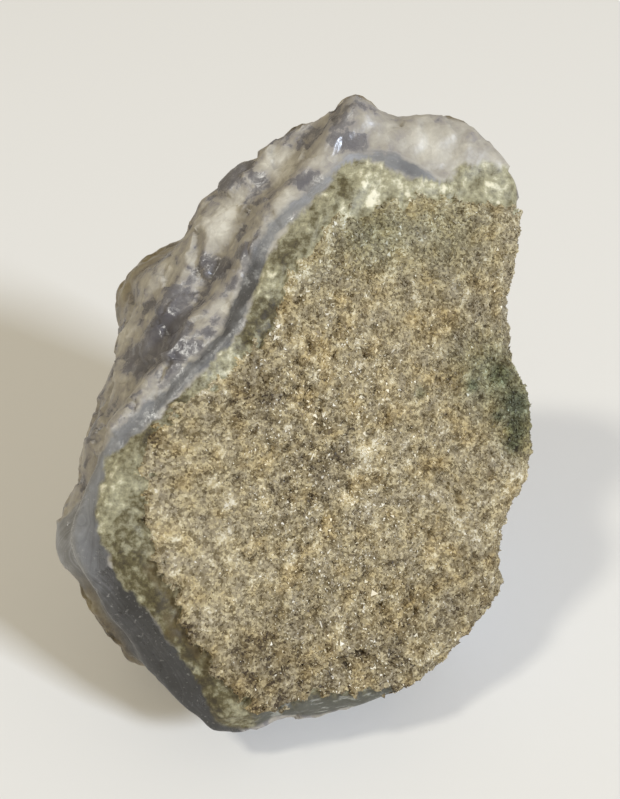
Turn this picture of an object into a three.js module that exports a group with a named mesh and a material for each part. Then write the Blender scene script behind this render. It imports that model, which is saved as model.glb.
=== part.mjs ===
// Blue lace agate: one broken piece of an agate vein, with a crust of granular host rock on
// the side where the vein met the wall, and rounded mineral buds on the side where it grew
// into the open cavity. The stone is one solid. It stands on a small flat spot under its
// middle, and the foot of its crust face hangs over the ground.
// Millimetres, +Z up, -Y towards the front.

import * as THREE from 'three';
import { ConvexHull } from 'three/addons/math/ConvexHull.js';
import { ImprovedNoise } from 'three/addons/math/ImprovedNoise.js';

// ---- driving dimensions, in mm unless they say otherwise ----

const CRUST_YAW = 12; // degrees that the crust face is turned to the right of straight front
const CRUST_RISE = 36; // degrees that its normal points up, because the face leans back
const FRONT_FOOT = new THREE.Vector3(-12.1, -31.6, 0.3); // its lowest corner
const GROUND = -12; // height of the ground, about that far below the front foot
const BASE = GROUND - 0.7; // of the corners that the flat spot cuts off
const RIM_DEPTH = 1.4; // of the green rim under the crust, measured into the stone
const ROLL_DEPTH = 3.6; // where the crest of the glassy roll lies, measured the same way
const BAND_STEP = 7; // from one gentle ledge of the chalcedony to the next, deeper in
const VEIN_DEPTH = 45; // from the crust face to the deepest layer that is left
const FADE_HEIGHT = 4; // above the ground: the relief fades out below it, for the flat spot
const FACET = 2.1; // size of the facets
const WEAR_PASSES = 1; // of smoothing that round the broken edges, before the relief

// ---- directions of the vein: along the crust face, and depth under it ----

const yaw = THREE.MathUtils.degToRad(CRUST_YAW);
const rise = THREE.MathUtils.degToRad(CRUST_RISE);
const crustNormal = new THREE.Vector3(
  Math.sin(yaw) * Math.cos(rise),
  -Math.cos(yaw) * Math.cos(rise),
  Math.sin(rise),
);
const across = new THREE.Vector3(Math.cos(yaw), Math.sin(yaw), 0);
const upSlope = new THREE.Vector3().crossVectors(crustNormal, across);

/** A point on the crust face, from its distance right of and above the front foot. */
function onCrust(right, up) {
  return FRONT_FOOT.clone().addScaledVector(across, right).addScaledVector(upSlope, up);
}

/** How deep a point lies under the crust face. */
function depthUnderCrust(point) {
  return crustNormal.dot(FRONT_FOOT) - crustNormal.dot(point);
}

// ---- the corners that the break left, before wear ----

const crustCorners = [
  onCrust(0.5, 1.4),
  onCrust(23, 0.8),
  onCrust(30.5, 3),
  onCrust(36, 7),
  onCrust(41, 11),
  onCrust(45, 16),
  onCrust(52.5, 36),
  onCrust(53, 43),
  onCrust(54.5, 71.5),
  onCrust(40.5, 76.5),
  onCrust(30.5, 79.5),
  onCrust(16.5, 70),
  onCrust(1, 50.5),
  onCrust(-8.5, 43.5),
  onCrust(-15, 35.5),
  onCrust(-13.5, 28),
];

const otherCorners = {
  crown: [
    [5, 34, 72.5],
    [11, 35, 70.5],
    [22, 34, 69.5],
    [27, 31, 66.5],
    [32, 26.5, 62.5],
    [-3, 33, 67],
    [-14.5, 30.5, 60],
  ],
  leftFlank: [
    [-15, 25.5, 50.5],
    [-21.5, 23, 47.5],
    [-31, 15, 38.5],
    [-37, -4.5, 22.5],
    [-40.5, -10, 17],
    [-37.5, -15, 10.5],
    [-31, -22, 5.2],
  ],
  back: [
    [17, 34, 52],
    [27, 31, 46],
    [-20, 33, 30],
    [-24, 28, 16],
    [2, 35, 34],
    [20, 31, 18],
    [-12, 31, 7],
  ],
  base: [
    [-15, -18, BASE],
    [-4, -16, BASE],
    [12, -10, BASE],
    [18, 4, BASE],
    [12, 19, BASE],
    [-6, 22, BASE],
    [-20, 12, BASE],
    [-27, -2, BASE],
    [-24, -10, BASE],
  ],
};

const corners = [
  ...crustCorners,
  ...Object.values(otherCorners).flat().map((corner) => new THREE.Vector3(...corner)),
];

// ---- ledges along the layers, at a depth under the crust; a negative height is a groove ----

const ledges = [
  { depth: RIM_DEPTH + 0.5, reach: 0.9, height: -0.7 },
  { depth: ROLL_DEPTH, reach: 1.4, height: 1.6 },
  { depth: ROLL_DEPTH + 3.6, reach: 1.9, height: -1.3 },
];
const LAYER_WAVE = { size: 9, height: 0.8 }; // how the layers wander

// ---- lumps of the broken surface ----
// size: width of a lump, height: how far it stands out or in

const flankScoops = [
  { size: 14, height: 1.9 },
  { size: 6, height: 1.3 },
];
const crustPebbles = [
  { size: 6, height: 0.9 },
  { size: 3.2, height: 0.8 },
];

// ---- round buds on the back, where the vein grew into its cavity ----
// at: where on the surface, radius: of the bud's outline, height: of its dome

const buds = [
  { at: [-26, 27.5, 39], radius: 9.5, height: 8 },
  { at: [-14, 33, 46], radius: 8, height: 4 },
  { at: [-2, 35, 56], radius: 8, height: 3 },
  { at: [-22, 31, 24], radius: 9, height: 4 },
  { at: [-9, 35, 31], radius: 10.5, height: 4.5 },
  { at: [5, 36, 43], radius: 9, height: 4 },
  { at: [4, 34, 22], radius: 9.5, height: 4 },
  { at: [17, 34, 34], radius: 9, height: 4 },
  { at: [16, 35, 57], radius: 8, height: 3 },
  { at: [-9, 32, 11], radius: 8, height: 3 },
];

// ---- larger forms of the break, which push the surface sideways ----
// at: where, reach: how far it spreads, push: how far it moves the surface there

const forms = {
  knobOnTheCrown: { at: [7, 33, 70], reach: 4.5, push: [0, 0, 2.5] },
  notchBesideTheKnob: { at: [12.5, 33, 69], reach: 3, push: [0, 0, -2.5] },
  biteInTheRightEdge: { at: [33, 11, 44.5], reach: 7, push: [-5, 0, 0] },
  dentInTheLowerRightEdge: { at: [30, -8.5, 19.5], reach: 6, push: [-2.5, 0, 0] },
  bayInTheLeftEdge: { at: [-9, 5, 49], reach: 9, push: [1.5, 0, -1] },
};

// ---- helpers ----

const { lerp, smoothstep } = THREE.MathUtils;
const perlin = new ImprovedNoise();
const bell = (distance, reach) => Math.exp(-((distance / reach) ** 2));

/** Smooth noise from about -1 to 1, whose lumps are about `size` wide. */
function noise(point, size) {
  return perlin.noise(point.x / size + 7.3, point.y / size + 2.9, point.z / size + 4.1);
}

// ---- relief of the surface ----

/** Moves a point by the forms of the break that reach it. */
function pushForms(point) {
  for (const { at, reach, push } of Object.values(forms)) {
    const share = bell(point.distanceTo(new THREE.Vector3(...at)), reach);
    point.addScaledVector(new THREE.Vector3(...push), share);
  }
}

/** How high the tallest bud stands at a point. */
function budRelief(point) {
  const domes = buds.map(({ at, radius, height }) => {
    const share = point.distanceTo(new THREE.Vector3(...at)) / radius;
    return height * Math.sqrt(Math.max(0, 1 - share ** 2));
  });
  return Math.max(...domes);
}

/** Ledges along the vein's layers: green rim, glassy roll, a trough, then gentle steps. */
function layerRelief(point) {
  const depth = depthUnderCrust(point) + LAYER_WAVE.height * noise(point, LAYER_WAVE.size);
  const turns = (2 * Math.PI * depth) / BAND_STEP;
  let relief = 0.5 * Math.sin(turns) * smoothstep(depth, 9, 14);
  for (const ledge of ledges) {
    relief += ledge.height * bell(depth - ledge.depth, ledge.reach);
  }
  return relief;
}

/** Lumps and hollows of several sizes together. */
function lumps(point, sizes) {
  return sizes.reduce((sum, { size, height }) => sum + height * noise(point, size), 0);
}

/** The uneven break: pebbly on the crust, and in shallow scoops on the flanks. */
function breakRelief(point) {
  const onFlank = smoothstep(depthUnderCrust(point), 0.8, 5);
  return lerp(lumps(point, crustPebbles), lumps(point, flankScoops), onFlank);
}

// ---- the broken body: a point for each depth under the crust, angle and share of the way ----

const crustMiddle = onCrust(21, 38);
const deepMiddle = new THREE.Vector3(-9, 25, 7);
const brokenFaces = new ConvexHull().setFromPoints(corners).faces;

/** The middle of the layer that lies at a depth under the crust. */
function layerMiddle(depth) {
  return crustMiddle.clone().lerp(deepMiddle, depth / depthUnderCrust(deepMiddle));
}

/** A point of the layer at a depth: `share` of the way from its middle to its edge. */
function layerPoint(depth, angle, share) {
  const middle = layerMiddle(depth);
  const outward = across.clone().multiplyScalar(Math.cos(angle));
  outward.addScaledVector(upSlope, Math.sin(angle));
  let reach = Infinity;
  for (const face of brokenFaces) {
    const facing = face.normal.dot(outward);
    if (facing > 1e-6) {
      reach = Math.min(reach, (face.constant - face.normal.dot(middle)) / facing);
    }
  }
  return middle.addScaledVector(outward, reach * share);
}

/** Points evenly around a layer, about a facet apart; a share of 0 gives its middle alone. */
function ringPoints(depth, share) {
  const samples = 48;
  let length = 0;
  for (let i = 0; i < samples; i += 1) {
    const [from, to] = [i, i + 1].map((step) => (2 * Math.PI * step) / samples);
    length += layerPoint(depth, from, share).distanceTo(layerPoint(depth, to, share));
  }
  const count = share === 0 ? 1 : Math.max(6, Math.round(length / FACET));
  return Array.from({ length: count }, (_, i) => layerPoint(depth, (2 * Math.PI * i) / count, share));
}

/** All rings: out over the crust, down the flanks, and in over the deep end. */
function bodyRings() {
  const span = (depth) => layerPoint(depth, 0, 1).distanceTo(layerPoint(depth, Math.PI, 1)) / 2;
  const crustSteps = Math.round(span(0) / FACET);
  const sideSteps = Math.round((VEIN_DEPTH / FACET) * 1.8);
  const deepSteps = Math.round(span(VEIN_DEPTH) / FACET);
  const rings = [];
  for (let i = 0; i < crustSteps; i += 1) {
    rings.push(ringPoints(0, i / crustSteps));
  }
  for (let i = 0; i <= sideSteps; i += 1) {
    rings.push(ringPoints((VEIN_DEPTH * i) / sideSteps, 1));
  }
  for (let i = deepSteps - 1; i >= 0; i -= 1) {
    rings.push(ringPoints(VEIN_DEPTH, i / deepSteps));
  }
  return rings;
}

// ---- the mesh ----

/** Triangles that close the strip between two rings of corner numbers, facing out. */
function zipRings(inner, outer) {
  const triangles = [];
  const innerSteps = inner.length > 1 ? inner.length : 0;
  const outerSteps = outer.length > 1 ? outer.length : 0;
  let i = 0;
  let j = 0;
  while (i < innerSteps || j < outerSteps) {
    const from = inner[i % inner.length];
    const to = outer[j % outer.length];
    if (i === innerSteps || (j < outerSteps && (j + 1) * innerSteps <= (i + 1) * outerSteps)) {
      j += 1;
      triangles.push(from, to, outer[j % outer.length]);
    } else {
      i += 1;
      triangles.push(from, to, inner[i % inner.length]);
    }
  }
  return triangles;
}

/** Moves every point half of the way to the middle of its neighbours. */
function wear(points, triangles) {
  const sums = points.map(() => new THREE.Vector3());
  const counts = points.map(() => 0);
  for (let i = 0; i < triangles.length; i += 1) {
    const next = i % 3 === 2 ? i - 2 : i + 1;
    sums[triangles[i]].add(points[triangles[next]]);
    counts[triangles[i]] += 1;
  }
  return points.map((point, i) => point.clone().lerp(sums[i].divideScalar(counts[i]), 0.5));
}

/** Moves each point of the worn body by the relief there, along its own outward direction. */
function raiseRelief(points, normals) {
  const outward = new THREE.Vector3();
  points.forEach((point, i) => {
    outward.fromBufferAttribute(normals, i);
    const relief = layerRelief(point) + breakRelief(point) + budRelief(point);
    point.addScaledVector(outward, relief * smoothstep(point.z, GROUND, GROUND + FADE_HEIGHT));
    pushForms(point);
  });
}

function stoneGeometry() {
  const rings = bodyRings();
  let points = rings.flat();
  const numbers = points.map((_, i) => i);
  const ringNumbers = rings.map((ring) => numbers.splice(0, ring.length));
  const triangles = ringNumbers.slice(1).flatMap((ring, i) => zipRings(ringNumbers[i], ring));
  const geometry = new THREE.BufferGeometry();
  geometry.setIndex(triangles);

  for (let pass = 0; pass < WEAR_PASSES; pass += 1) {
    points = wear(points, triangles);
  }
  geometry.setFromPoints(points);
  geometry.computeVertexNormals();
  raiseRelief(points, geometry.attributes.normal);
  points = wear(points, triangles);
  for (const point of points) {
    point.z = Math.max(point.z, GROUND); // the flat spot
  }
  geometry.setFromPoints(points);
  geometry.computeVertexNormals();
  geometry.computeBoundingBox();
  return geometry;
}

const stone = new THREE.Mesh(
  stoneGeometry(),
  new THREE.MeshStandardMaterial({ color: 0x8d8672, roughness: 0.6, metalness: 0, flatShading: true }),
);
stone.name = 'agate_stone';

// the origin is on the ground, under the middle of the stone's box
const middle = stone.geometry.boundingBox.getCenter(new THREE.Vector3());
stone.position.set(-middle.x, -middle.y, -GROUND);

const group = new THREE.Group();
group.add(stone);

export default group;
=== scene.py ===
import math

import bmesh
import bpy
import numpy as np
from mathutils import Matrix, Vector, noise


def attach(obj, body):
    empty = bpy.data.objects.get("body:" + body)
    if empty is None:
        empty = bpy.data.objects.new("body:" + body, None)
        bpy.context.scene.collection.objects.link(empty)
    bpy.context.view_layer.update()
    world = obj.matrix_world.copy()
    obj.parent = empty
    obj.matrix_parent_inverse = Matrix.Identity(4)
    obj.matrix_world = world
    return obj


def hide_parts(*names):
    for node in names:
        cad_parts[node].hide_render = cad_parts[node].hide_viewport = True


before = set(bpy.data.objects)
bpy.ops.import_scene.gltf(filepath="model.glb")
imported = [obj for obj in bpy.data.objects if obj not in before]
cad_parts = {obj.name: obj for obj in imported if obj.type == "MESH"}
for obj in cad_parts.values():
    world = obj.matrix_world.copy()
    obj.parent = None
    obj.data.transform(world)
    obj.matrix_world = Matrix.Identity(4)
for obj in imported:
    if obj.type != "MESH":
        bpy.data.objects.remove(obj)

bl_info = {
    "name": "Rough blue lace agate",
    "version": (1, 0, 0),
    "blender": (4, 5, 0),
    "location": "3D View > Sidebar > Agate",
    "description": "A broken piece of agate vein with its granular host-rock crust",
    "category": "Add Mesh",
}

# The stone is described in the directions of its vein, as a geologist would log it: how far
# right of and above the front foot of the crust face, and how deep under that face.
# All of these are in mm; Blender's own lengths are in metres.

MM_PER_METRE = 1000
MM = 1 / MM_PER_METRE

NODE = "agate_stone"
BODY = "root"
CAGE_FACES = 8200  # each one becomes 24 triangles of the finished stone

CRUST_YAW = math.radians(12)  # the crust face is turned to the right of straight front
CRUST_RISE = math.radians(36)  # and leans back, so that its normal points up
FRONT_FOOT = np.array([-9.8, -36.06, 12.3])  # its lowest corner, as x, y and z of the part
CRUST_NORMAL = np.array([
    math.sin(CRUST_YAW) * math.cos(CRUST_RISE),
    -math.cos(CRUST_YAW) * math.cos(CRUST_RISE),
    math.sin(CRUST_RISE),
])
ACROSS = np.array([math.cos(CRUST_YAW), math.sin(CRUST_YAW), 0.0])
UP_SLOPE = np.cross(CRUST_NORMAL, ACROSS)

# The host rock's grains end along this ragged line, given as (right, up). On the right and at
# the lower right they run on to the edge of the face.
GRAIN_BORDER = [
    (60, 71.5), (54, 72), (46.5, 74), (40, 75), (33, 75.5), (31, 73.7), (29, 73.5), (27.8, 74.6),
    (25, 72.8), (20, 69), (17.6, 65.8), (16, 62), (12, 57.4), (8.7, 54.7), (0.7, 49.4),
    (-5.6, 45.6), (-6.7, 40), (-7.5, 33.5), (-6.5, 27), (-4, 17.7), (-1.3, 10), (0.4, 7.4),
    (3.6, 5.2), (5, 3.4), (8, 2.8), (11, 3.4), (16, 3), (21, 2.9), (26, 2.2), (28, -4), (60, -4),
]

# The green rim shows between that line and this one; the blue band follows outside it.
RIM_BORDER = [
    (60, 79), (54.5, 79), (50, 79.6), (46, 79.2), (43, 77.2), (37, 78.6), (31.5, 81.6), (29, 81.9),
    (25.4, 78.5), (20, 74.5), (15, 69.2), (12.3, 64.3), (9.8, 59.3), (6.7, 56), (-0.6, 50.3),
    (-4.7, 46.9), (-12.5, 42.3), (-14.6, 36), (-14.7, 32.5), (-12.9, 24.7), (-7.7, 17.5),
    (-4, 9.4), (-1.6, 1.9), (-0.6, -8), (60, -8),
]

# The middle line of the blue band: right, up, depth, half width, and darkness from 0 to 1. On the
# lower rows the darkness is partly the band's own slate and partly painted shade.
BLUE_BAND = [
    (43.5, 76.3, 0.7, 0.4, 0.1),
    (38, 79.5, 0.8, 1.4, 0.6),
    (34.5, 81.7, 1.2, 1.1, 0.4),
    (29.5, 82.3, 2, 0.8, 0.2),
    (21.5, 76.8, 1.5, 0.9, 0.35),
    (15.5, 72.2, 2, 1.1, 0.5),
    (11.5, 64.8, 1.9, 1.4, 0.85),
    (7, 57.8, 0.7, 1.4, 0.7),
    (0.5, 52.8, 0.7, 1.2, 0.6),
    (-7.5, 46.8, 1.5, 1.3, 0.5),
    (-13.3, 41.6, 2.3, 1.6, 0.4),
    (-16.2, 34, 3.5, 5.0, 0.25),
    (-17.5, 27.5, 7.5, 8.0, 0.3),
    # the lower rows, where the flank faces down and to the left, are darker partly as painted
    # shade
    (-14.0, 18.8, 6.5, 8.0, 0.85),
    (-8.6, 10.5, 5.1, 6.5, 1.0),
    (-3, 1.5, 5.5, 5.8, 1.0),
    (-1.5, -3, 6, 5.1, 1.0),
]

# Smoky and milky places of the broken left flank and the top: (right, up, depth), reach,
# strength. A positive strength is smoky, a negative one milky.
CLOUD_WEIGHT = 0.34  # how far a cloud of strength 1 shifts the stone from milky to smoky
CLOUDS = [
    ((-0.5, 60.8, 7.7), 2.8, 1.5),
    ((0, 58.4, 4.2), 2.2, 1.2),
    ((-1.7, 62, 8.8), 2.2, 1.0),
    ((-5.6, 57.4, 10.4), 3.2, 0.25),
    ((-7.3, 56, 11.6), 2.8, 0.15),
    ((-4, 56, 8.7), 2.4, 0.4),
    ((1.5, 65.5, 9), 2.8, 0.6),
    ((7.8, 68, 7.2), 2.0, 1.2),
    ((6.6, 69.8, 9), 1.3, 0.8),
    ((10.4, 66.4, 3), 1.3, 0.9),
    ((5, 58.8, 2.3), 1.2, 0.9),
    ((2.5, 57.3, 2), 1.2, 0.9),
    ((-0.5, 56.4, 2.4), 1.5, 1.0),
    ((-1, 53, 1.5), 1.6, 0.6),
    ((-5.6, 53.9, 8.8), 2.0, 0.5),
    ((14, 82.6, 10.4), 3.4, 0.3),
    ((11, 83, 13.3), 3.5, 0.35),
    ((17.5, 82.5, 9), 2.2, 0.4),
    ((22.2, 79.6, 2.6), 2.2, 0.5),
    ((24.5, 87, 7), 4.0, 0.3),
    ((28, 85.2, 2.4), 2.4, 0.4),
    ((11.7, 74.8, 8), 1.4, 0.4),
    ((13.5, 73.5, 5), 1.4, 0.3),
    ((31, 88, 3), 3.5, 0.25),
    ((19, 84, 9), 2.4, -1.3),
    ((20, 81.5, 7), 2.2, -0.9),
    ((24.5, 82.4, 2.6), 2.8, -0.6),
    ((18.6, 77.4, 2), 1.9, -0.8),
    ((10.5, 77, 9.7), 3.0, -1.2),
    ((7.5, 73.9, 9.5), 2.8, -0.7),
    ((4, 71, 10.8), 2.6, -0.5),
    ((4.5, 60.1, 2.9), 2.2, -0.4),
    ((7.7, 62.5, 3.2), 2.2, -0.4),
    ((-6.2, 52.3, 3.2), 2.0, -0.5),
    ((-9, 52.6, 10), 2.4, -0.5),
    ((-7.2, 60.7, 15), 2.8, -0.8),
    ((-1, 68, 13.5), 3.2, -0.5),
    ((36, 86.5, 3), 4.0, -0.3),
    ((41, 83, 2.3), 3.0, -0.8),
    ((46, 84, 3), 5.0, -0.3),
    ((46, 79, 1.7), 3.0, -0.5),
    ((52, 79, 2.3), 4.5, -0.2),
    ((-18.7, 33.4, 8.8), 5.0, -0.2),
]

# Stains of the crust and of its rim: (right, up), reach, strength. Green clots are dark too. Some
# of the dark marks are painted shade, as noted below.
CREAM_PLACES = [
    ((31.3, 75.2), 1.2, 1.9),
    ((28.4, 80.2), 2.2, 0.8),
    ((32.5, 78.6), 2.6, 0.9),
    ((38, 76.3), 3.0, 0.7),
    ((44, 75.5), 3.0, 0.7),
    ((51.5, 75.2), 3.0, 0.9),
    ((18.8, 72.2), 1.6, 0.9),
    ((14.2, 65), 1.8, 1.0),
    ((6.6, 55.3), 1.6, 0.9),
    ((-12, 38), 3.2, 0.8),
    ((1.6, 3.4), 1.5, 0.9),
    ((25.4, 37.2), 1.7, 1.8),
    ((27.5, 39.5), 1.2, 1.4),
    ((22.5, 32), 1.0, 1.6),
    ((3, 19), 4.0, 0.3),
    ((-3.5, 28), 4.0, 0.4),
    ((48.5, 31), 1.6, 1.2),
    ((33, 7), 2.6, 0.9),
    ((19.5, 67), 2.6, 0.9),
    ((35, 69), 5.0, 0.5),
    ((20.2, 13.7), 3.5, 0.6),
    ((31.4, 35.6), 0.9, 1.2),
    ((39.2, 24.1), 1.6, 1.2),
    ((40.2, 52.4), 1.4, 0.9),
    ((21.8, 30.8), 0.8, 1.2),
    ((18.2, 17.2), 1.2, 0.8),
    ((36.3, 59.9), 1.0, 0.7),
    ((15.2, 35.7), 0.9, 0.9),
]
GREEN_CLOTS = [
    ((48.2, 47.3), 1.3, 0.7),
    ((49.7, 42.6), 1.5, 0.7),
    ((49.1, 38.9), 1.4, 0.6),
    ((48.5, 36.3), 1.6, 0.7),
    ((46.7, 41), 0.9, 0.6),
    ((43.1, 46.1), 0.9, 0.8),
    ((34.9, 46.1), 0.8, 0.8),
]
GREEN_PLACES = GREEN_CLOTS + [
    ((50, 44), 6.0, 0.6),
    ((52, 38), 4.0, 0.5),
    ((45, 49), 5.0, 0.5),
    ((30, 71), 6.0, 0.5),
    ((42, 70), 8.0, 0.35),
    ((20, 67), 4.0, 0.2),
]
# Dark marks: brown stains and green clots, and along the lower left of the grain border painted
# shade in the recess under the crust's ledge.
UMBER_AND_SHADE_PLACES = GREEN_CLOTS + [
    ((27.6, 78.3), 1.4, 1.2),
    ((53.5, 74), 1.6, 0.6),
    ((19.3, 70.6), 2.0, 1.0),
    ((17, 68), 2.0, 1.0),
    ((14, 61.2), 2.2, 1.5),
    ((11, 57.8), 2.0, 1.2),
    ((-1, 49.4), 2.5, 0.7),
    ((-5.7, 44.6), 1.8, 1.2),
    # the next eight marks, along the lower left of the grain border, are painted shade in the
    # recess under the crust's ledge
    ((-9.8, 34.8), 2.4, 0.7),
    ((-11, 28.5), 3.0, 1.0),
    ((-9.2, 24), 2.4, 0.6),
    ((-7, 20.4), 1.8, 1.3),
    ((-5.2, 15.8), 1.6, 1.6),
    ((-1.6, 4.5), 1.8, 0.8),
    ((-3.6, 12.5), 1.2, 1.5),
    ((-2.5, 8), 1.2, 1.0),
    ((17, 35), 5.0, 0.7),
    ((21, 38.5), 1.8, 0.9),
    ((9.4, 48.3), 4.0, 0.9),
    ((6.1, 10), 4.0, 0.6),
    ((45.5, 54.3), 4.0, 0.4),
]

# Low swells (+) and hollows (-) of the outline: (right, up, depth), reach, height in mm.
SWELLS = [
    ((53, 67, 2), 5.0, -0.7),
    ((51, 60, 3), 4.0, -0.5),
    ((51, 46, 3), 4.5, -0.9),
    ((51, 37, 3), 5.0, -0.7),
    ((48, 28, 3), 4.5, -0.7),
    ((44, 19, 3), 5.0, -1.1),
    ((39, 10.5, 3), 5.0, -1.2),
    ((31.5, 5, 3), 4.0, -0.9),
    ((27, 90.5, 7.5), 4.0, -0.8),
    ((35.8, 89.5, 4.6), 2.0, -0.6),
    ((3.4, 76.4, 16.1), 4.0, -1.6),
    ((-17.7, 40.3, 14.6), 3.0, -1.0),
    ((-8.4, 61, 20), 4.0, 0.9),
    ((-21, 28, 12), 3.0, 0.8),
    ((-1.7, 0.3, 3.8), 1.5, 0.6),
]

FRESH_RIGHT = 21  # where the crust is roughest and freshest, in a strip that runs up it
FRESH_REACH = 14

# The large bud beside the left flank, as x, y and z of the part.
BUD_MIDDLE = np.array([-22.5, 23.0, 51.0])
BUD_REACH = 12

# What the streaks of the blue band's paint take away from its darkness on average.
BAND_STREAKS = 0.375

GRAIN_SEED = 7
PAINTED_GLINT_SHARE = 0.01  # of the grains are nearly white, as painted glints of fresh crystal faces

# The stage, in x, y and z of the part.
STONE_MIDDLE = Vector((0, 0, 40))
CAMERA_TARGET = Vector((2.3, -4.46, 50))
CAMERA_DISTANCE = 165
CAMERA_RISE = math.radians(38)
LIGHT_METRES = 4.0  # from each light to the stone
FLOOR_METRES = 3.0  # the width of the floor

# ---- colours and helpers ----


def linear(code):
    """An sRGB hex colour as linear red, green, blue and alpha."""
    parts = [int(code[i:i + 2], 16) / 255 for i in (1, 3, 5)]
    return [((c + 0.055) / 1.055) ** 2.4 if c > 0.04045 else c / 12.92 for c in parts] + [1.0]


def smooth(value, start, end):
    """0 below start, 1 above end and a soft step between them."""
    share = np.clip((value - start) / (end - start), 0.0, 1.0)
    return share * share * (3 - 2 * share)


def bell(distance, reach):
    """1 at no distance, and softly down to 0.37 at the reach and 0.02 at twice the reach."""
    return np.exp(-((distance / reach) ** 2))


def lumps(places, size, octaves=1, seed=0.0):
    """Smooth noise from about -1 to 1 at places in mm, with lumps of a size in mm. Each octave
    is half as wide and half as strong as the last, and each seed reads another part of it."""
    shift = Vector((seed, seed * 0.7 + 3.1, seed * 1.3 - 5.7))
    return np.array([
        noise.fractal(Vector(place) / size + shift, 1.0, 2.0, octaves) for place in places
    ])


def chips(places, size):
    """Relief of flat chips of a size in mm: each one leans its own way."""
    relief = []
    for place in places:
        spot = Vector(place) / size
        corner = noise.voronoi(spot)[1][0]
        lean = noise.cell_vector(corner) - Vector((0.5, 0.5, 0.5))
        relief.append((spot - corner).dot(lean))
    return np.array(relief) * size


def domes(places, size):
    """Relief of close round buds of a size in mm, from 0 between them to 1 on top."""
    off_middle = np.array([noise.voronoi(Vector(place) / size)[0][0] for place in places])
    edge = 0.75  # of the size is how far a bud reaches from its middle
    return np.sqrt(np.clip(1 - (off_middle / edge) ** 2, 0, 1))


def trace(points, line):
    """Distance of points from a line of corners, and what its other columns say there."""
    rows = np.array(line, float)
    nearest = np.full(len(points), np.inf)
    readings = np.zeros((len(points), rows.shape[1] - 3))
    for a, b in zip(rows, rows[1:]):
        side = b[:3] - a[:3]
        share = np.clip((points - a[:3]) @ side / (side @ side), 0, 1)[:, None]
        distance = np.linalg.norm(points - a[:3] - share * side, axis=1)
        closer = distance < nearest
        nearest[closer] = distance[closer]
        readings[closer] = (a[3:] + share * (b[3:] - a[3:]))[closer]
    return nearest, readings.T


def to_vein(places):
    """Right, up and depth of places in mm."""
    off = places - FRONT_FOOT
    return np.column_stack([off @ ACROSS, off @ UP_SLOPE, -(off @ CRUST_NORMAL)])


def inside(points, outline):
    """Distance in mm of flat points inside an outline; it is negative outside."""
    corners = np.array(outline, float)
    ends = np.roll(corners, -1, axis=0)
    nearest = np.full(len(points), np.inf)
    within = np.zeros(len(points), bool)
    for a, b in zip(corners, ends):
        side = b - a
        share = np.clip((points - a) @ side / (side @ side), 0, 1)
        nearest = np.minimum(nearest, np.linalg.norm(points - a - share[:, None] * side, axis=1))
        crosses = (a[1] > points[:, 1]) != (b[1] > points[:, 1])
        level = np.where(crosses, points[:, 1] - a[1], 0.0)
        reach = a[0] + level * side[0] / (side[1] if side[1] else 1.0)
        within ^= crosses & (points[:, 0] < reach)
    return np.where(within, nearest, -nearest)


def stain(vein, marks):
    """How strongly a list of marks reaches each point; marks have two or three coordinates."""
    total = np.zeros(len(vein))
    for place, reach, strength in marks:
        off = vein[:, :len(place)] - np.array(place)
        total += strength * bell(np.linalg.norm(off, axis=1), reach)
    return total


def add(tree, kind, inputs=None, stops=None, **settings):
    """Adds a node. inputs maps a socket to a value or to the socket to link; stops fill a ramp."""
    node = tree.nodes.new("ShaderNode" + kind)
    for name, value in settings.items():
        setattr(node, name, value)
    for socket, value in (inputs or {}).items():
        if isinstance(value, bpy.types.NodeSocket):
            tree.links.new(value, node.inputs[socket])
        else:
            node.inputs[socket].default_value = value
    if stops:
        ramp = node.color_ramp
        while len(ramp.elements) < len(stops):
            ramp.elements.new(0.5)
        for element, (position, colour) in zip(ramp.elements, stops):
            element.position = position
            element.color = colour
    return node


# ---- settings that a user would change ----


def colour_setting(name, description, code):
    """A colour that a user can change; its default is an sRGB hex code."""
    return bpy.props.FloatVectorProperty(
        name=name, description=description, subtype="COLOR", size=4, min=0, max=1,
        default=linear(code),
    )


def length_setting(name, description, millimetres):
    """A length that a user can change; Blender keeps it in metres."""
    return bpy.props.FloatProperty(
        name=name, description=description, default=millimetres * MM, min=0.0,
        subtype="DISTANCE", unit="LENGTH", precision=5,
    )


class AgateSettings(bpy.types.PropertyGroup):
    """Sizes and colours of the stone."""

    grain_size: length_setting("Grain size", "Width of a middling grain of the crust", 0.34)
    grain_count: bpy.props.IntProperty(
        name="Grains", description="How many loose-looking grains stand out of the crust",
        default=46000, min=0, max=48000,
    )
    crust_step: length_setting(
        "Crust step", "How far the granular crust stands above the green rim", 0.55)
    chip_size: length_setting("Chip size", "Width of the chips on the broken flanks", 4.5)
    bud_size: length_setting("Bud size", "Width of the small buds on the skin", 3.6)
    tan: colour_setting("Crust tan", "Main colour of the crust", "#988c72")
    cream: colour_setting("Crust cream", "Colour of its pale grains", "#dad2ba")
    # the dark end of the crust's paint: brown stains, and painted shade in its pits, its low
    # places and towards the bottom of the face
    umber_and_shade: colour_setting("Crust umber", "Colour of its pits", "#43382a")
    rim: colour_setting("Rim green", "Colour of the rim under the crust", "#827c61")
    slate: colour_setting("Slate blue", "Colour of the blue band", "#6a6968")
    milky: colour_setting("Milky", "Colour of the pale chalcedony", "#afa899")
    smoky: colour_setting("Smoky", "Colour of the dark chalcedony", "#777371")
    lace: colour_setting("Lace blue", "Colour of the blue lace bands", "#98a6bd")
    skin: colour_setting("Skin brown", "Colour of the iron-stained buds", "#766749")


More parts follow.
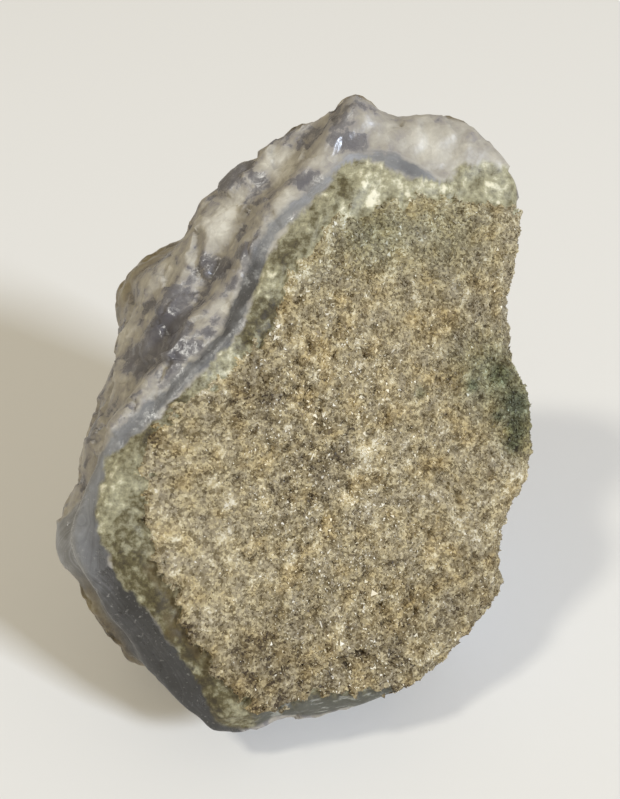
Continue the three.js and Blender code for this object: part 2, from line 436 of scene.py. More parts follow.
class StageSettings(bpy.types.PropertyGroup):
    """Floor and light."""

    floor: colour_setting("Floor", "Colour of the floor", "#e4e1db")
    right_power: bpy.props.FloatProperty(
        name="Right light", description="Power of the light on the right", default=163,
        min=0.0, subtype="POWER", unit="POWER",
    )
    left_power: bpy.props.FloatProperty(
        name="Left light", description="Power of the light on the left", default=46,
        min=0.0, subtype="POWER", unit="POWER",
    )
    sky: bpy.props.FloatProperty(
        name="Sky", description="Strength of the even light from all round", default=0.4,
        min=0.0,
    )


# ---- the materials ----
#
# A pattern's Scale says how often it repeats in a metre, so it is MM_PER_METRE over the size of
# the pattern in mm. The patterns that follow the vein are laid out in mm instead.
# A Mix of colours takes them at its inputs 6 and 7 and gives output 2, and a Mix of numbers
# takes them at its inputs 2 and 3 and gives output 0.


def start_material(name, field_names):
    """A new material, its empty node tree, and the fields of the mesh that its paint reads."""
    material = bpy.data.materials.new(name)
    material.use_nodes = True
    tree = material.node_tree
    tree.nodes.clear()
    field = {}
    for field_name in field_names:
        field[field_name] = add(tree, "Attribute", attribute_name=field_name).outputs["Fac"]
    return material, tree, field


def stained_rock(tree, paint, field):
    """Tints a paint: from grey to ochre by its warmth, and green where it is green."""
    warmth = add(tree, "MapRange", {
        "Value": field["warmth"], "From Min": -0.7, "From Max": 0.7,
    }).outputs["Result"]
    tints = add(tree, "ValToRGB", {0: warmth}, stops=[
        (0.0, linear("#f1f1f6")), (0.5, linear("#faf8f3")), (1.0, linear("#faf0da")),
    ]).outputs["Color"]
    tinted = add(tree, "Mix", {0: 1.0, 6: paint, 7: tints}, data_type="RGBA",
                 blend_type="MULTIPLY").outputs[2]
    return add(tree, "Mix", {0: field["green"], 6: tinted, 7: linear("#a9bcb6")},
               data_type="RGBA", blend_type="MULTIPLY").outputs[2]


def host_rock_material(settings):
    """Weathered basalt crust, broken and gritty: a dry matt face in which dark pits, tan grit and
    cream crystals lie side by side, with no gloss except on single grains. Its pits and low places
    are painted darker and its high places paler, as painted shade and light."""
    material, tree, field = start_material(
        "basalt host rock, granular crust", ("height", "warmth", "cream", "umber_and_shade", "green"))
    place = add(tree, "TexCoord").outputs["Object"]
    # grit of about 0.4 mm; the real one goes down to 0.1 mm, which wouldn't show
    grit = add(tree, "TexVoronoi", {"Vector": place, "Scale": MM_PER_METRE / 0.38})
    grit_tone = add(tree, "SeparateColor", {"Color": grit.outputs["Color"]}).outputs["Red"]
    grit_share = add(tree, "Math", {0: grit_tone, 1: 0.36, 2: 0.34},
                     operation="MULTIPLY_ADD").outputs[0]
    # painted shade and light: the low places of the crust's relief are painted darker and its high
    # ones paler
    low_or_high = add(tree, "Math", {0: field["height"], 1: 0.16, 2: grit_share},
                      operation="MULTIPLY_ADD").outputs[0]
    # the dark marks field holds brown stains and painted shade, and darkens the paint
    stains = add(tree, "Math", {0: field["cream"], 1: field["umber_and_shade"]},
                 operation="SUBTRACT").outputs[0]
    tone = add(tree, "Math", {0: stains, 1: 0.16, 2: low_or_high},
               operation="MULTIPLY_ADD").outputs[0]
    paint = add(tree, "ValToRGB", {0: tone}, stops=[
        (0.22, settings.umber_and_shade),
        (0.38, linear("#75684b")),
        (0.52, settings.tan),
        (0.68, linear("#b9ab87")),
        (0.88, settings.cream),
    ]).outputs["Color"]
    dents = add(tree, "TexNoise", {
        "Vector": place, "Scale": MM_PER_METRE / 0.45, "Detail": 3.0, "Roughness": 0.6,
    }).outputs["Fac"]
    bump = add(tree, "Bump", {"Height": dents, "Strength": 0.8, "Distance": 0.25 * MM})
    shader = add(tree, "BsdfPrincipled", {
        "Base Color": stained_rock(tree, paint, field), "Roughness": 0.88, "IOR": 1.5,
        "Specular IOR Level": 0.3, "Normal": bump.outputs["Normal"],
    })
    add(tree, "OutputMaterial", {"Surface": shader.outputs["BSDF"]})
    return material


def grain_material(settings):
    """Single feldspar, quartz and iron-oxide grains of the crust, broken along their cleavage:
    each has one colour, and their flat faces glint a little; the few nearly white ones are painted
    glints."""
    material, tree, field = start_material(
        "feldspar and quartz grains, weathered", ("tone", "warmth", "green"))
    paint = add(tree, "ValToRGB", {0: field["tone"]}, stops=[
        (0.0, settings.umber_and_shade),
        (0.2, linear("#75664a")),
        (0.45, settings.tan),
        (0.66, linear("#b8a983")),
        (0.82, settings.cream),
        # the palest stop colours the nearly white grains, which are painted glints
        (0.97, linear("#efe9d8")),
    ]).outputs["Color"]
    shader = add(tree, "BsdfPrincipled", {
        "Base Color": stained_rock(tree, paint, field), "Roughness": 0.62, "IOR": 1.54,
    })
    add(tree, "OutputMaterial", {"Surface": shader.outputs["BSDF"]})
    return material


def cloudy_stone(tree, place, vein, field, settings):
    """Clouds of smoky and milky chalcedony. Gives its paint, and how smoky it is."""
    # torn blotches, and streaks along the layers that are 8 mm long and 1 mm thick
    torn = add(tree, "TexNoise", {
        "Vector": place, "Scale": MM_PER_METRE / 2.6, "Detail": 8.0, "Roughness": 0.66,
        "Distortion": 0.35,
    }).outputs["Fac"]
    along_layers = add(tree, "VectorMath", {0: vein, 1: (0.35, 0.12, 1.1)},
                       operation="MULTIPLY").outputs[0]
    streaks = add(tree, "TexNoise", {
        "Vector": along_layers, "Scale": 1.0, "Detail": 5.0, "Roughness": 0.62,
    }).outputs["Fac"]
    # each chip of the break is a little darker or paler than the next
    warp = add(tree, "TexNoise", {
        "Vector": place, "Scale": MM_PER_METRE / 2.0, "Detail": 3.0,
    }).outputs["Color"]
    warped = add(tree, "VectorMath", {0: warp, 1: (1.6 * MM,) * 3, 2: place},
                 operation="MULTIPLY_ADD").outputs[0]
    cells = add(tree, "TexVoronoi", {"Vector": warped, "Scale": MM_PER_METRE / 2.4})
    cell = add(tree, "SeparateColor", {"Color": cells.outputs["Color"]}).outputs["Red"]
    # the sum of the three is 0 on average, so that less mottle makes the stone calmer and no
    # darker
    with_torn = add(tree, "Math", {0: torn, 1: 1.15, 2: -0.975},
                    operation="MULTIPLY_ADD").outputs[0]
    with_streaks = add(tree, "Math", {0: streaks, 1: 0.6, 2: with_torn},
                       operation="MULTIPLY_ADD").outputs[0]
    with_chips = add(tree, "Math", {0: cell, 1: 0.2, 2: with_streaks},
                     operation="MULTIPLY_ADD").outputs[0]
    clouded = add(tree, "Math", {0: with_chips, 1: field["mottle"], 2: field["cloud"]},
                  operation="MULTIPLY_ADD").outputs[0]
    smoke = add(tree, "Math", {0: clouded, 1: 0.495}, operation="ADD").outputs[0]
    paint = add(tree, "ValToRGB", {0: smoke}, stops=[
        (0.05, linear("#cac4b5")),
        (0.28, settings.milky),
        (0.45, linear("#9c9589")),
        (0.545, linear("#8f8984")),
        (0.575, settings.smoky),
        (0.95, linear("#5f5c5f")),
    ]).outputs["Color"]
    return paint, smoke


def lace_over(tree, under, field, settings):
    """Lace bands over a paint: blue, white and grey, of random widths, mostly 0.5 to 2 mm."""
    bands = add(tree, "TexNoise", {
        "W": field["depth"], "Scale": 0.75, "Detail": 3.0, "Roughness": 0.65,
    }, noise_dimensions="1D").outputs["Fac"]
    paint = add(tree, "ValToRGB", {0: bands}, stops=[
        (0.34, linear("#7f8ba3")),
        (0.44, settings.lace),
        (0.50, linear("#c3cad6")),
        (0.55, linear("#dcdcde")),
        (0.60, linear("#a9b3c6")),
        (0.70, linear("#cfc9c4")),
    ]).outputs["Color"]
    return add(tree, "Mix", {0: field["lace"], 6: under, 7: paint},
               data_type="RGBA").outputs[2]


def blue_band_over(tree, under, place, field, settings):
    """The blue band over a paint: smooth, finely drawn out along its length, with fine pale
    dust on it and a pale edge outside."""
    wander = add(tree, "TexNoise", {
        "Vector": place, "Scale": MM_PER_METRE / 1.8, "Detail": 4.0,
    }).outputs["Fac"]
    # the edges of the band wander by about half a millimetre
    waver = add(tree, "Math", {0: wander, 1: 0.5}, operation="SUBTRACT").outputs[0]
    level = add(tree, "Math", {0: waver, 1: 2.4, 2: field["band"]},
                operation="MULTIPLY_ADD").outputs[0]
    band_share = add(tree, "MapRange", {
        "Value": level, "From Min": -0.4, "From Max": 0.4,
    }).outputs["Result"]
    # streaks along the band, about 0.4 mm apart
    streaks = add(tree, "TexNoise", {
        "W": field["band"], "Scale": 2.6, "Detail": 3.0, "Roughness": 0.6,
    }, noise_dimensions="1D").outputs["Fac"]
    # the band's darkness: its own tone, and on the lower left partly painted shade
    streaked = add(tree, "Math", {0: streaks, 1: -0.4, 2: field["band_dark_and_shade"]},
                   operation="MULTIPLY_ADD").outputs[0]
    tone = add(tree, "Math", {0: wander, 1: -0.35, 2: streaked},
               operation="MULTIPLY_ADD").outputs[0]
    paint = add(tree, "ValToRGB", {0: tone}, stops=[
        (0.10, linear("#a0a0a3")),
        (0.35, linear("#82817f")),
        (0.60, settings.slate),
        (0.80, linear("#4c4a48")),
        (1.00, linear("#353330")),
    ]).outputs["Color"]
    dust = add(tree, "TexNoise", {
        "Vector": place, "Scale": MM_PER_METRE / 0.5, "Detail": 2.0, "Roughness": 0.7,
    }).outputs["Fac"]
    dust_share = add(tree, "MapRange", {
        "Value": dust, "From Min": 0.62, "From Max": 0.72, "To Max": 0.35,
    }).outputs["Result"]
    dusty = add(tree, "Mix", {0: dust_share, 6: paint, 7: linear("#aba79f")},
                data_type="RGBA").outputs[2]
    banded = add(tree, "Mix", {0: band_share, 6: under, 7: dusty},
                 data_type="RGBA").outputs[2]
    band_or_edge = add(tree, "MapRange", {
        "Value": level, "From Min": -0.8, "From Max": -0.3,
    }).outputs["Result"]
    edge = add(tree, "Math", {0: band_or_edge, 1: band_share},
               operation="SUBTRACT").outputs[0]
    edge_share = add(tree, "Math", {0: edge, 1: 0.4}, operation="MULTIPLY").outputs[0]
    return add(tree, "Mix", {0: edge_share, 6: banded, 7: linear("#aaa59c")},
               data_type="RGBA").outputs[2]


def green_rim_over(tree, under, place, vein, field, settings):
    """The green rim over a paint: cloudy celadonite-stained quartz with white flecks and olive
    stains, darkened in places by painted shade, with a dark brown painted shadow under the crust's
    ledge at the lower left. At the foot of the crust it is grey, with fine white threads that run
    along it, and painted darker there as painted shade where the face turns under."""
    flecks = add(tree, "TexNoise", {
        "Vector": place, "Scale": MM_PER_METRE / 1.1, "Detail": 5.0, "Roughness": 0.68,
    }).outputs["Fac"]
    paled = add(tree, "Math", {0: field["cream"], 1: 0.16, 2: flecks},
                operation="MULTIPLY_ADD").outputs[0]
    # the dark marks field holds brown stains and painted shade
    stained = add(tree, "Math", {0: field["umber_and_shade"], 1: -0.19, 2: paled},
                  operation="MULTIPLY_ADD").outputs[0]
    # painted shade: at the foot of the crust the rim is painted darker, where the face turns under
    tone = add(tree, "Math", {0: field["foot"], 1: -0.28, 2: stained},
               operation="MULTIPLY_ADD").outputs[0]
    paint = add(tree, "ValToRGB", {0: tone}, stops=[
        (0.22, linear("#382f18")),
        (0.37, linear("#5b5231")),
        (0.49, settings.rim),
        (0.64, linear("#a19b7c")),
        (0.83, linear("#dbd4b8")),
    ]).outputs["Color"]
    # painted shadow: a dark brown line just outside the grains at the lower left, at the foot of
    # the crust's ledge
    ledge_shadowed = add(tree, "Mix", {0: field["ledge_shadow"], 6: paint, 7: linear("#564724")},
                data_type="RGBA").outputs[2]
    grey_share = add(tree, "Math", {0: field["foot"], 1: 0.6}, operation="MULTIPLY").outputs[0]
    greyed = add(tree, "Mix", {0: grey_share, 6: ledge_shadowed, 7: linear("#5c5d54")},
                 data_type="RGBA").outputs[2]
    # threads about 0.5 mm wide and 2 mm long
    along_foot = add(tree, "VectorMath", {0: vein, 1: (0.45, 1.8, 1.8)},
                     operation="MULTIPLY").outputs[0]
    threads = add(tree, "TexNoise", {
        "Vector": along_foot, "Scale": 1.0, "Detail": 4.0, "Roughness": 0.6,
    }).outputs["Fac"]
    thread_share = add(tree, "MapRange", {
        "Value": threads, "From Min": 0.54, "From Max": 0.66, "To Max": 0.6,
    }).outputs["Result"]
    at_foot = add(tree, "Math", {0: thread_share, 1: field["foot"]},
                  operation="MULTIPLY").outputs[0]
    threaded = add(tree, "Mix", {0: at_foot, 6: greyed, 7: linear("#b5b4a9")},
                   data_type="RGBA").outputs[2]
    return add(tree, "Mix", {0: field["rim"], 6: under, 7: threaded},
               data_type="RGBA").outputs[2]


def brown_skin_over(tree, under, place, field, settings):
    """The brown skin of iron oxide over a paint, in clouds of about 5 mm; it is painted darker
    towards the underside, as painted shade."""
    clouds = add(tree, "TexNoise", {
        "Vector": place, "Scale": MM_PER_METRE / 5.0, "Detail": 8.0, "Roughness": 0.7,
    }).outputs["Fac"]
    # painted shade: the skin is painted darker on the underside
    tone = add(tree, "Math", {0: field["underside_shade"], 1: -0.07, 2: clouds},
               operation="MULTIPLY_ADD").outputs[0]
    paint = add(tree, "ValToRGB", {0: tone}, stops=[
        (0.36, linear("#473d29")),
        (0.46, settings.skin),
        (0.56, linear("#867a5b")),
        (0.68, linear("#a59a80")),
    ]).outputs["Color"]
    return add(tree, "Mix", {0: field["skin"], 6: under, 7: paint},
               data_type="RGBA").outputs[2]


def chalcedony_material(settings):
    """Banded chalcedony, broken by hand: dense microscopic quartz that lets light a little way in,
    with a waxy gloss; its green rim, blue band and brown skin are the same stone, stained. Painted
    shade darkens the lower left of the band, the rim under the crust's ledge and at its foot, and
    the underside."""
    material, tree, field = start_material("chalcedony, conchoidal break", (
        "depth", "cloud", "mottle", "lace", "skin", "rim", "cream", "umber_and_shade", "band", "band_dark_and_shade",
        "foot", "ledge_shadow", "underside_shade",
    ))
    place = add(tree, "TexCoord").outputs["Object"]
    # the same places in mm along the vein, so that a pattern can follow its layers
    vein = add(tree, "Attribute", attribute_name="vein").outputs["Vector"]
    paint, smoke = cloudy_stone(tree, place, vein, field, settings)
    paint = lace_over(tree, paint, field, settings)
    paint = blue_band_over(tree, paint, place, field, settings)
    paint = green_rim_over(tree, paint, place, vein, field, settings)
    paint = brown_skin_over(tree, paint, place, field, settings)

    # smoky stone is glossier than milky stone, and the rim is duller than both
    gloss = add(tree, "MapRange", {
        "Value": smoke, "From Min": 0.3, "From Max": 0.7, "To Min": 0.48, "To Max": 0.24,
    }).outputs["Result"]
    roughness = add(tree, "Mix", {0: field["rim"], 2: gloss, 3: 0.55}).outputs[0]
    ripple = add(tree, "TexNoise", {
        "Vector": place, "Scale": MM_PER_METRE / 0.9, "Detail": 4.0, "Roughness": 0.55,
    }).outputs["Fac"]
    bump = add(tree, "Bump", {"Height": ripple, "Strength": 0.45, "Distance": 0.2 * MM})
    shader = add(tree, "BsdfPrincipled", {
        "Base Color": paint, "Roughness": roughness, "IOR": 1.54,
        "Subsurface Weight": 0.35, "Subsurface Radius": (1.6, 1.5, 1.5),
        "Subsurface Scale": MM, "Normal": bump.outputs["Normal"],
    })
    add(tree, "OutputMaterial", {"Surface": shader.outputs["BSDF"]})
    return material


# ---- the stone ----


def new_object(name, data):
    """Puts a mesh, a lamp or a camera in the scene as an object."""
    thing = bpy.data.objects.new(name, data)
    bpy.context.scene.collection.objects.link(thing)
    return thing


def rounded_copy(node):
    """A fine smooth mesh of the faceted solid: thinned a little, and subdivided twice."""
    mesh = node.data.copy()
    cage = bmesh.new()
    cage.from_mesh(mesh)
    # faces that meet share their vertices from here on
    bmesh.ops.remove_doubles(cage, verts=cage.verts, dist=0.001 * MM)
    cage.to_mesh(mesh)
    cage.free()
    mesh.materials.clear()
    holder = new_object("cage", mesh)
    thinning = holder.modifiers.new("thinning", "DECIMATE")
    thinning.ratio = min(1.0, CAGE_FACES / len(mesh.polygons))
    holder.modifiers.new("rounding", "SUBSURF").levels = 2
    bpy.context.view_layer.update()
    graph = bpy.context.evaluated_depsgraph_get()
    fine = bpy.data.meshes.new_from_object(holder.evaluated_get(graph))
    bpy.data.objects.remove(holder)
    bpy.data.meshes.remove(mesh)
    return fine


def read_vectors(vertices, name):
    """A named vector of every vertex of a mesh, as rows."""
    flat = np.empty(len(vertices) * 3, np.float32)
    vertices.foreach_get(name, flat)
    return flat.reshape(-1, 3).astype(float)


def read_field(mesh, name):
    """A number that was stored for each vertex of a mesh."""
    values = np.empty(len(mesh.vertices), np.float32)
    mesh.attributes[name].data.foreach_get("value", values)
    return values


def write_field(mesh, name, values):
    """Stores a number or a vector for each vertex of a mesh, for its material to read."""
    kind, slot = ("FLOAT_VECTOR", "vector") if values.ndim > 1 else ("FLOAT", "value")
    field = mesh.attributes.new(name, kind, "POINT")
    field.data.foreach_set(slot, values.astype(np.float32).ravel())


def stone_fields(places, facing):
    """What the stone is made of at each place: shares of its zones, and how stained it is."""
    vein = to_vein(places)
    right, up, deep = vein.T
    flat = vein[:, :2]
    wave = 0.8 * lumps(places, 9, 2, seed=1.0)
    ragged = 1.8 * lumps(places, 4.5, 2, seed=2.0) + 1.6 * lumps(places, 1.6, 3, seed=2.5)

    # how deep the grains and the green rim reach under the crust face: further at the right
    at_right = smooth(right, 25, 33) * (1 - smooth(up, 69, 73))
    grain_depth = 1.2 + 3.3 * at_right + 0.5 * lumps(places, 3, 2, seed=3.0)
    on_face = 1 - smooth(deep - grain_depth, -0.3, 0.3)
    border = inside(flat, GRAIN_BORDER) + ragged
    grains = smooth(border, -0.2, 0.2) * on_face
    rim_depth = 2.6 + 0.5 * lumps(places, 4, 2, seed=4.0) + 1.5 * at_right
    rim = smooth(inside(flat, RIM_BORDER) + 0.3 * ragged, -0.15, 0.15)
    rim *= 1 - smooth(deep - rim_depth, -0.25, 0.25)

    # along their border, the upper left grains are worn pale, and at the lower left the rim gets a
    # dark brown painted shadow at the foot of the crust's ledge; cream crystals lie in clots of
    # about 1 and 2 mm
    worn = 0.9 * bell(border - 0.5, 0.7) * smooth(up, 44, 50) * (1 - smooth(right, 24, 28))
    ledge_shadow = 0.75 * bell(border + 0.7, 0.9) * smooth(up, 8, 11) * (1 - smooth(up, 26, 31))
    crystals = 0.9 * smooth(lumps(places, 2.2, 2, seed=13), 0.36, 0.5)
    crystals += 1.1 * smooth(lumps(places, 1.1, 1, seed=17), 0.4, 0.55)
    # the foot of the crust, where the rim is grey and is painted darker as painted shade
    foot = (1 - smooth(up, 1.5, 4)) * smooth(right, 3, 6)

    # the blue band is darker near the face, a third of the way up
    distance, (half_width, band_dark_and_shade) = trace(vein, BLUE_BAND)
    band_dark_and_shade += 0.45 * bell(up - 28, 8) * (1 - smooth(deep, 1, 3.5))

    # the side that grew into the cavity has buds and a brown skin, as has the underside
    behind = smooth(facing[:, 1] + 0.2 * lumps(places, 12, 2, seed=5.0), 0.6, 0.8)
    bud = bell(np.linalg.norm(places - BUD_MIDDLE, axis=1), BUD_REACH)
    below = smooth(deep, 7, 10) * (1 - smooth(up + 0.3 * right, 12, 22))
    skin = np.maximum.reduce([behind, smooth(bud, 0.45, 0.75), below])

    # the side that broke across the layers, at the right, shows them as lace
    lace = smooth(facing[:, 0] - 0.6 * facing[:, 2], 0.15, 0.45) * smooth(deep, 3.5, 5)
    return {
        "vein": vein,
        "grains": grains,
        "depth": deep + wave,
        "cloud": stain(vein, CLOUDS) * CLOUD_WEIGHT,
        "mottle": 1 - 0.4 * smooth(right, 18, 30),
        "lace": lace * (1 - skin),
        "skin": skin,
        "rim": rim * (1 - skin),
        "band": half_width - distance,
        "band_dark_and_shade": band_dark_and_shade + BAND_STREAKS,
        "foot": foot,
        "ledge_shadow": ledge_shadow,
        # painted shade on the underside
        "underside_shade": below,
        "cream": stain(flat, CREAM_PLACES) + worn + crystals,
        "green": np.clip(stain(flat, GREEN_PLACES), 0, 1),
        # brown stains, plus painted shade that darkens the crust and its rim towards the bottom of
        # the face
        "umber_and_shade": stain(flat, UMBER_AND_SHADE_PLACES) + 0.6 * (1 - smooth(up, 4, 28)),
        "grit": bell(right - FRESH_RIGHT, FRESH_REACH) * (1 - 0.5 * smooth(up, 50, 60)),
        "coarse": 0.55 + 0.45 * smooth(right, -6, 14),
        # the crust's relief; the paint of the crust and its grains follows it, as painted shade in
        # the low places
        "height": lumps(places, 1.4, 3, seed=6.0),
        "warmth": lumps(places, 3.5, 3, seed=12.0),
    }


def undercut(vein):
    """How far the lower left flank falls back behind the blue band, in mm."""
    right, up, deep = vein.T
    share = smooth(deep, 2.5, 7) * (1 - smooth(deep, 14, 20)) * (1 - smooth(right, -6, 2))
    return 1.3 * share * smooth(up, 8, 15) * (1 - smooth(up, 22, 27))


def stone_relief(places, fields, settings):
    """How far the fine surface stands out of the smooth one, in mm."""
    right, up, _ = fields["vein"].T
    # the crust stands on its step, which is higher at the lower left; where it is fresh, its
    # pits come in clusters
    ledge = 0.7 * (1 - smooth(right, 2, 10)) * (1 - smooth(up, 34, 42))
    step = settings.crust_step / MM + ledge
    clustered = 0.2 + fields["grit"] * smooth(fields["warmth"], -0.2, 0.3)
    pits = smooth(-fields["height"], 0.35, 0.6) * clustered
    rough = 0.5 * fields["height"] + 0.3 * lumps(places, 0.8, 1, seed=7.0)
    crust = step + rough * fields["coarse"] - 0.5 * pits
    knobs = 0.28 * lumps(places, 2.6, 3, seed=8.0)
    flank = 0.32 * chips(places, settings.chip_size / MM)
    flank += 0.12 * lumps(places, 1.6, 2, seed=9.0)
    bud_size = settings.bud_size / MM
    buds = 0.9 * domes(places, bud_size) + 0.3 * domes(places, 0.45 * bud_size) - 0.6
    calm = smooth(fields["band"], -0.8, 0.4)
    relief = flank * (1 - 0.8 * calm)
    relief = relief + (knobs - relief) * fields["rim"]
    relief = relief + (buds - relief) * fields["skin"]
    relief = relief + (crust - relief) * fields["grains"]
    relief += stain(fields["vein"], SWELLS) - undercut(fields["vein"])
    # the worn spot that the stone rests on stays flat
    return relief * smooth(places[:, 2], 0.1, 2.0)


def place_piece(piece, *replaced):
    """Tells the frame what a piece rides on and the solids that it stands for."""
    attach(piece, BODY)
    if replaced:
        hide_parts(*replaced)


def make_stone(settings):
    """The whole stone: rounded, roughened by zones, and painted by its fields."""
    mesh = rounded_copy(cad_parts[NODE])
    mesh.name = "agate_body"
    places = read_vectors(mesh.vertices, "co") / MM
    facing = read_vectors(mesh.vertices, "normal")
    fields = stone_fields(places, facing)
    places += facing * stone_relief(places, fields, settings)[:, None]
    places[:, 2] = np.maximum(places[:, 2], 0.0)
    mesh.vertices.foreach_set("co", (places * MM).astype(np.float32).ravel())
    for name, values in fields.items():
        write_field(mesh, name, values)
    mesh.materials.append(chalcedony_material(settings))
    mesh.materials.append(host_rock_material(settings))
    corners = np.empty(len(mesh.loops), np.int32)
    mesh.loops.foreach_get("vertex_index", corners)
    # the rounding leaves only faces with four corners
    share = fields["grains"][corners].reshape(-1, 4).mean(axis=1)
    mesh.polygons.foreach_set("material_index", (share > 0.5).astype(np.int32))
    mesh.polygons.foreach_set("use_smooth", np.ones(len(mesh.polygons), bool))
    mesh.update()
    body = new_object("agate_body", mesh)
    place_piece(body, NODE)


def strew(mesh, shares, count, draw):
    """Random places on a mesh, where its shares are high: the vertices of the triangle around
    each place, and how much each of the three counts there."""
    mesh.calc_loop_triangles()
    corners = np.empty(len(mesh.loop_triangles) * 3, np.int32)
    mesh.loop_triangles.foreach_get("vertices", corners)
    corners = corners.reshape(-1, 3)
    places = read_vectors(mesh.vertices, "co") / MM
    a, b, c = (places[corners[:, k]] for k in range(3))
    area = np.linalg.norm(np.cross(b - a, c - a), axis=1)
    area *= shares[corners].mean(axis=1) > 0.6
    chosen = draw.choice(len(corners), count, p=area / area.sum())
    first, second = draw.random((2, count))
    flip = first + second > 1
    first[flip] = 1 - first[flip]
    second[flip] = 1 - second[flip]
    return corners[chosen], np.column_stack([1 - first - second, first, second])


def blend(rows, corners, weights):
    """What the vertices of a mesh say at strewn places."""
    shape = weights.shape + (1,) * (rows.ndim - 1)
    return (rows[corners] * weights.reshape(shape)).sum(axis=1)


def random_turns(count, draw):
    """Matrices that turn each grain its own way, from random quaternions."""
    turns = draw.normal(size=(count, 4))
    turns /= np.linalg.norm(turns, axis=1)[:, None]
    w, x, y, z = turns.T
    return np.array([
        [1 - 2 * (y * y + z * z), 2 * (x * y - z * w), 2 * (x * z + y * w)],
        [2 * (x * y + z * w), 1 - 2 * (x * x + z * z), 2 * (y * z - x * w)],
        [2 * (x * z - y * w), 2 * (y * z + x * w), 1 - 2 * (x * x + y * y)],
    ]).transpose(2, 0, 1)


def grain_tones(middles, here, painted_glint, draw):
    """How pale each grain is, from 0 to 1. Most are near the middle and a few are far paler, and
    they differ most where the crust is fresh. Grains in the low places, at the foot and under the
    dark marks' painted shade are painted darker, and the nearly white ones are painted glints."""
    spread = 0.08 + 0.34 * here["grit"]
    fleck = np.exp(0.6 * draw.normal(size=len(middles))) - 1.2  # 0 on average
    tone = 0.4 + 0.09 * here["grit"] + spread * fleck
    # painted shade and light: grains in the low places are darker, on the high ones paler
    tone += 0.2 * here["height"] * here["coarse"]
    tone += 0.1 * lumps(middles, 2.5, 3, seed=11.0)
    # the dark marks field holds brown stains and painted shade
    tone += 0.24 * here["cream"] - 0.17 * here["umber_and_shade"]
    # painted shade at the foot of the crust
    tone -= 0.1 * here["foot"]
    # painted glints: these grains are painted nearly white
    tone[painted_glint] = 1.0
    return np.clip(tone, 0, 1)


def make_grains(body, settings):
    """Angular grains half sunk in the crust, as one joined mesh."""
    draw = np.random.default_rng(GRAIN_SEED)
    count = settings.grain_count
    stone = body.data
    corners, weights = strew(stone, read_field(stone, "grains"), count, draw)
    here = {}
    for name in ("cream", "green", "umber_and_shade", "grit", "coarse", "foot", "height", "warmth"):
        here[name] = blend(read_field(stone, name), corners, weights)
    middles = blend(read_vectors(stone.vertices, "co") / MM, corners, weights)
    outward = blend(read_vectors(stone.vertices, "normal"), corners, weights)
    outward /= np.linalg.norm(outward, axis=1)[:, None]

    # a tetrahedron with shaken corners, turned and stretched at random, is one grain
    tetrahedron = np.array([(1, 1, 1), (1, -1, -1), (-1, 1, -1), (-1, -1, 1)]) * 0.75
    sides = np.array([(0, 1, 2), (0, 3, 1), (0, 2, 3), (1, 3, 2)])
    shapes = tetrahedron + draw.normal(0, 0.25, (count, 4, 3))
    widths = settings.grain_size / MM * np.exp(draw.normal(0, 0.32, count))
    painted_glint = draw.random(count) < PAINTED_GLINT_SHARE
    # the nearly white grains, which are painted glints, stay small, so that they read as glints
    # and not as chips
    widths = np.clip(widths, 0.2, np.where(painted_glint, 0.45, 0.9)) * here["coarse"]
    stretch = draw.uniform(0.65, 1.25, (count, 1, 3))
    turned = np.einsum("nij,nkj->nki", random_turns(count, draw), shapes * stretch)
    sunk = middles - outward * (widths * draw.uniform(0.05, 0.3, count))[:, None]
    points = sunk[:, None, :] + turned * (widths / 2)[:, None, None]
    points[:, :, 2] = np.maximum(points[:, :, 2], 0.05)  # none reaches the ground

    grains = bpy.data.meshes.new("crust_grains")
    faces = (sides[None] + 4 * np.arange(count)[:, None, None]).reshape(-1, 3)
    grains.from_pydata((points.reshape(-1, 3) * MM).tolist(), [], faces.tolist())
    write_field(grains, "tone", np.repeat(grain_tones(middles, here, painted_glint, draw), 4))
    for name in ("green", "warmth"):
        write_field(grains, name, np.repeat(here[name], 4))
    grains.materials.append(grain_material(settings))
    piece = new_object("crust_grains", grains)
    place_piece(piece)


# ---- the stage ----


def plain_floor(settings):
    """A matt painted board: even and pale, with no pattern."""
    material = bpy.data.materials.new("matt white painted board")
    material.use_nodes = True
    shader = material.node_tree.nodes["Principled BSDF"]
    shader.inputs["Base Color"].default_value = settings.floor
    shader.inputs["Roughness"].default_value = 0.7
    shader.inputs["Specular IOR Level"].default_value = 0.2
    half = FLOOR_METRES / 2
    corners = [(-half, -half, 0), (half, -half, 0), (half, half, 0), (-half, half, 0)]
    mesh = bpy.data.meshes.new("floor")
    mesh.from_pydata(corners, [], [(0, 1, 2, 3)])
    mesh.materials.append(material)
    floor = new_object("floor", mesh)


def aim(thing, target, away, distance):
    """Puts a lamp or a camera at a distance from a target, the way that away points from it,
    and turns it to look back."""
    thing.location = target + away * distance
    thing.rotation_euler = (-away).to_track_quat("-Z", "Y").to_euler()


def soft_light(name, azimuth, elevation, size, power, colour):
    """A square soft light that looks at the stone. Its angles are in degrees, from +X."""
    lamp = bpy.data.lights.new(name, "AREA")
    lamp.energy = power
    lamp.size = size
    lamp.color = colour[:3]
    turn, rise = math.radians(azimuth), math.radians(elevation)
    away = Vector((math.cos(turn) * math.cos(rise), math.sin(turn) * math.cos(rise),
                   math.sin(rise)))
    aim(new_object(name, lamp), STONE_MIDDLE * MM, away, LIGHT_METRES)


def place_camera():
    """Looks down on the crust face from close by, as a hand-held phone does."""
    lens = bpy.data.cameras.new("camera")
    lens.lens = 50
    lens.sensor_fit = "VERTICAL"
    lens.sensor_height = 36
    lens.clip_start = 0.01
    camera = new_object("camera", lens)
    away = Vector((0, -math.cos(CAMERA_RISE), math.sin(CAMERA_RISE)))
    aim(camera, CAMERA_TARGET * MM, away, CAMERA_DISTANCE * MM)
    bpy.context.scene.camera = camera


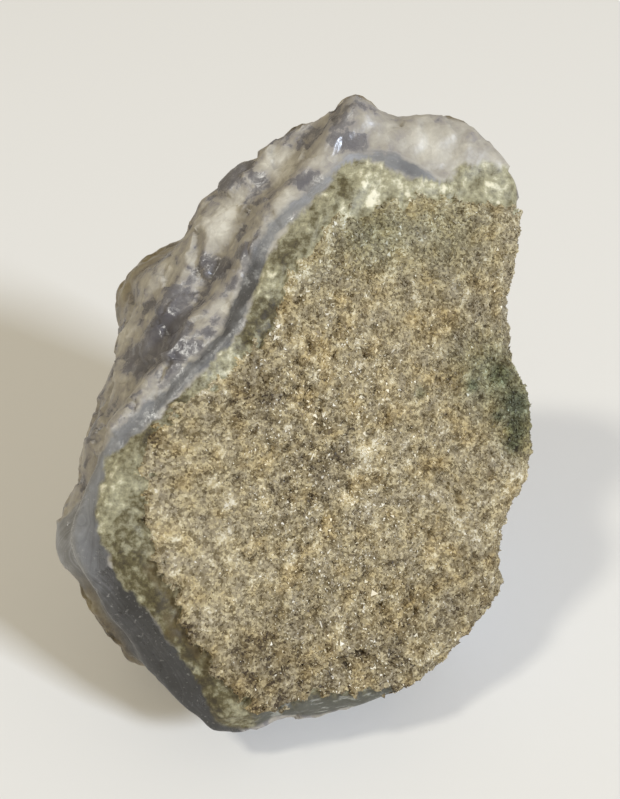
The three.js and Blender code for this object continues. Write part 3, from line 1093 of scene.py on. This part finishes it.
def pale_room(settings):
    """Even warm light from all round; the room itself looks as pale as the floor."""
    world = bpy.data.worlds.new("pale room")
    world.use_nodes = True
    tree = world.node_tree
    tree.nodes.clear()
    light = add(tree, "Background", {"Color": linear("#fff4dd"), "Strength": settings.sky})
    backdrop = add(tree, "Background", {"Color": linear("#e6e4de"), "Strength": 1.0})
    seen = add(tree, "LightPath").outputs["Is Camera Ray"]
    both = add(tree, "MixShader", {0: seen, 1: light.outputs[0], 2: backdrop.outputs[0]})
    add(tree, "OutputWorld", {"Surface": both.outputs[0]})
    bpy.context.scene.world = world


def make_stage(settings):
    """The floor, a low cool light at the right, a high warm one at the left, and the camera."""
    plain_floor(settings)
    soft_light("right light", azimuth=-36, elevation=32, size=0.67,
               power=settings.right_power, colour=linear("#e2edff"))
    soft_light("left light", azimuth=212, elevation=59, size=0.45,
               power=settings.left_power, colour=linear("#fffdf2"))
    pale_room(settings)
    bpy.context.scene.view_settings.view_transform = "Standard"
    place_camera()


# ---- operators and panel ----


class AGATE_OT_stone(bpy.types.Operator):
    """Build the stone itself in place of the plain solid"""

    bl_idname = "agate.stone"
    bl_label = "Build stone"

    def execute(self, context):
        make_stone(context.scene.agate)
        return {"FINISHED"}


class AGATE_OT_grains(bpy.types.Operator):
    """Strew the crust of the stone with its grains"""

    bl_idname = "agate.grains"
    bl_label = "Build crust grains"

    def execute(self, context):
        body = bpy.data.objects.get("agate_body")
        if body is None:
            raise RuntimeError("build the stone first: the grains sit in its crust")
        make_grains(body, context.scene.agate)
        return {"FINISHED"}


class AGATE_OT_stage(bpy.types.Operator):
    """Set up the floor, the light and the camera"""

    bl_idname = "agate.stage"
    bl_label = "Build stage"

    def execute(self, context):
        make_stage(context.scene.agate_stage)
        return {"FINISHED"}


class AGATE_PT_panel(bpy.types.Panel):
    """Lists the steps that build the stone and its stage"""

    bl_idname = "AGATE_PT_panel"
    bl_label = "Rough agate"
    bl_space_type = "VIEW_3D"
    bl_region_type = "UI"
    bl_category = "Agate"

    def draw(self, context):
        layout = self.layout
        for step in (AGATE_OT_stone, AGATE_OT_grains, AGATE_OT_stage):
            layout.operator(step.bl_idname)
        for settings in (context.scene.agate, context.scene.agate_stage):
            for name in settings.__annotations__:
                layout.prop(settings, name)


CLASSES = (
    AgateSettings,
    StageSettings,
    AGATE_OT_stone,
    AGATE_OT_grains,
    AGATE_OT_stage,
    AGATE_PT_panel,
)


def register():
    """Makes the classes and the settings known to Blender."""
    for kind in CLASSES:
        bpy.utils.register_class(kind)
    bpy.types.Scene.agate = bpy.props.PointerProperty(type=AgateSettings)
    bpy.types.Scene.agate_stage = bpy.props.PointerProperty(type=StageSettings)


def unregister():
    """Takes away what register added."""
    del bpy.types.Scene.agate_stage
    del bpy.types.Scene.agate
    for kind in reversed(CLASSES):
        bpy.utils.unregister_class(kind)


def main():
    """Builds the stone, its grains and the stage."""
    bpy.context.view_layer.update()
    register()
    bpy.ops.agate.stone()
    bpy.ops.agate.grains()
    bpy.ops.agate.stage()


if __name__ == "__main__":
    main()
